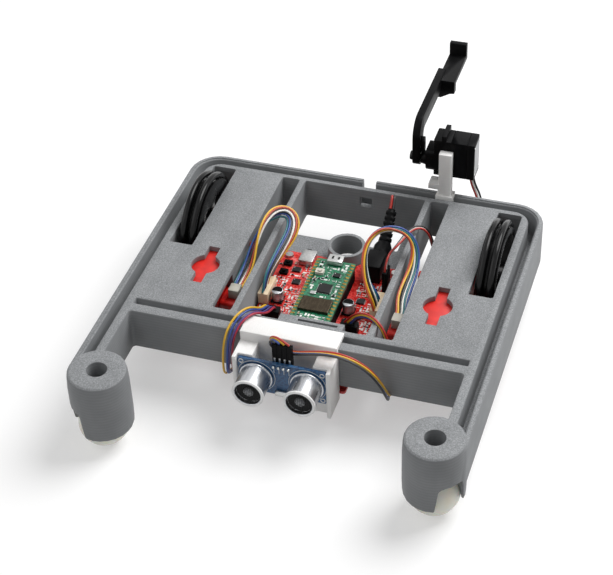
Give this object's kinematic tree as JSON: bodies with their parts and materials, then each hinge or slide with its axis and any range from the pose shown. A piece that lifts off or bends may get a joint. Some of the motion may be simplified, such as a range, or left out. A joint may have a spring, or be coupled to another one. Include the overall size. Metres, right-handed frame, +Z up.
{
  "type": "line follower robot",
  "caption": "Two-wheel line follower robot: printed tray chassis with rail groove, caster ball legs, sonar on a clip, open electronics and a servo lift arm.",
  "frame": {"origin": "on the floor under the middle of the robot's length and width", "axes": "+Z up, +Y towards the rear with the lift arm, -Y towards the front with the sonar and caster legs, +X to the right as seen from the front"},
  "size_m": [0.1964, 0.2722, 0.091],
  "materials": {
    "printed_chassis": "matte grey layer-printed plastic",
    "black_plastic": "satin black plastic",
    "white_plastic": "satin white plastic",
    "red_plastic": "satin red moulded plastic",
    "tyre_rubber": "smooth black rubber rings",
    "cream_ball": "polished cream plastic",
    "bright_metal": "bright drawn and plated metal",
    "red_board": "red solder mask on circuit board",
    "green_board": "green solder mask on circuit board",
    "blue_board": "blue solder mask on circuit board",
    "cell_wrap": "shrink wrapped battery cells",
    "wire": "insulated wires of several colours"
  },
  "bodies": {
    "robot": {"chassis": "printed_chassis", "left_gearmotor": "red_plastic", "right_gearmotor": "red_plastic", "left_encoder_cover": "red_plastic", "right_encoder_cover": "red_plastic", "left_motor_socket": "white_plastic", "right_motor_socket": "white_plastic", "controller_board": "red_board", "processor_board": "green_board", "usb_socket": "bright_metal", "left_motor_plug": "white_plastic", "right_motor_plug": "white_plastic", "line_sensor_socket": "white_plastic", "sonar_socket": "white_plastic", "left_capacitor": "bright_metal", "right_capacitor": "bright_metal", "power_switch": "bright_metal", "battery_jack": "black_plastic", "battery_plug": "black_plastic", "servo_plug": "black_plastic", "battery_holder": "black_plastic", "battery_cell_1": "cell_wrap", "battery_cell_2": "cell_wrap", "battery_cell_3": "cell_wrap", "battery_cell_4": "cell_wrap", "line_sensor_board": "red_board", "line_sensor_plug": "white_plastic", "sonar_bracket": "white_plastic", "sonar_board": "blue_board", "sonar_transmitter": "bright_metal", "sonar_receiver": "bright_metal", "sonar_plug": "black_plastic", "servo_bracket": "white_plastic", "servo_case": "black_plastic", "left_motor_cable": "wire", "right_motor_cable": "wire", "line_sensor_cable": "wire", "sonar_cable": "wire", "servo_cable": "wire", "battery_lead": "wire"},
    "left_drive_wheel": {"left_wheel": "black_plastic", "left_inner_tyre": "tyre_rubber", "left_outer_tyre": "tyre_rubber", "left_axle": "bright_metal"},
    "right_drive_wheel": {"right_wheel": "black_plastic", "right_inner_tyre": "tyre_rubber", "right_outer_tyre": "tyre_rubber", "right_axle": "bright_metal"},
    "left_ball": {"left_caster_ball": "cream_ball"},
    "right_ball": {"right_caster_ball": "cream_ball"},
    "arm": {"lift_arm": "black_plastic", "servo_horn": "white_plastic", "servo_shaft": "bright_metal", "horn_screw": "bright_metal"},
    "slider": {"switch_slider": "black_plastic"},
    "reset": {"reset_button": "black_plastic"},
    "user": {"user_button": "black_plastic"},
    "boot": {"boot_button": "white_plastic"}
  },
  "joints": [
    {"name": "left_wheel_spin", "type": "hinge", "parent": "robot", "child": "left_drive_wheel", "pos_m": [-0.0796, 0.01605, 0.03], "axis": [1, 0, 0], "continuous": true},
    {"name": "right_wheel_spin", "type": "hinge", "parent": "robot", "child": "right_drive_wheel", "pos_m": [0.0796, 0.01605, 0.03], "axis": [1, 0, 0], "continuous": true},
    {"name": "left_ball_roll", "type": "hinge", "parent": "robot", "child": "left_ball", "pos_m": [-0.0831, -0.12095, 0.0127], "axis": [1, 0, 0], "continuous": true},
    {"name": "right_ball_roll", "type": "hinge", "parent": "robot", "child": "right_ball", "pos_m": [0.0831, -0.12095, 0.0127], "axis": [1, 0, 0], "continuous": true},
    {"name": "arm_lift", "type": "hinge", "parent": "robot", "child": "arm", "pos_m": [0.0302, 0.06525, 0.0618], "axis": [1, 0, 0], "range_deg": [-70, 110]},
    {"name": "switch_slide", "type": "slide", "parent": "robot", "child": "slider", "axis": [1, 0, 0], "range_m": [0, 0.002]},
    {"name": "reset_press", "type": "slide", "parent": "robot", "child": "reset", "axis": [0, 0, -1], "range_m": [0, 0.00025], "stiffness_N_per_m": 2000},
    {"name": "user_press", "type": "slide", "parent": "robot", "child": "user", "axis": [0, 0, -1], "range_m": [0, 0.00025], "stiffness_N_per_m": 2000},
    {"name": "boot_press", "type": "slide", "parent": "robot", "child": "boot", "axis": [0, 0, -1], "range_m": [0, 0.00025], "stiffness_N_per_m": 2000}
  ]
}
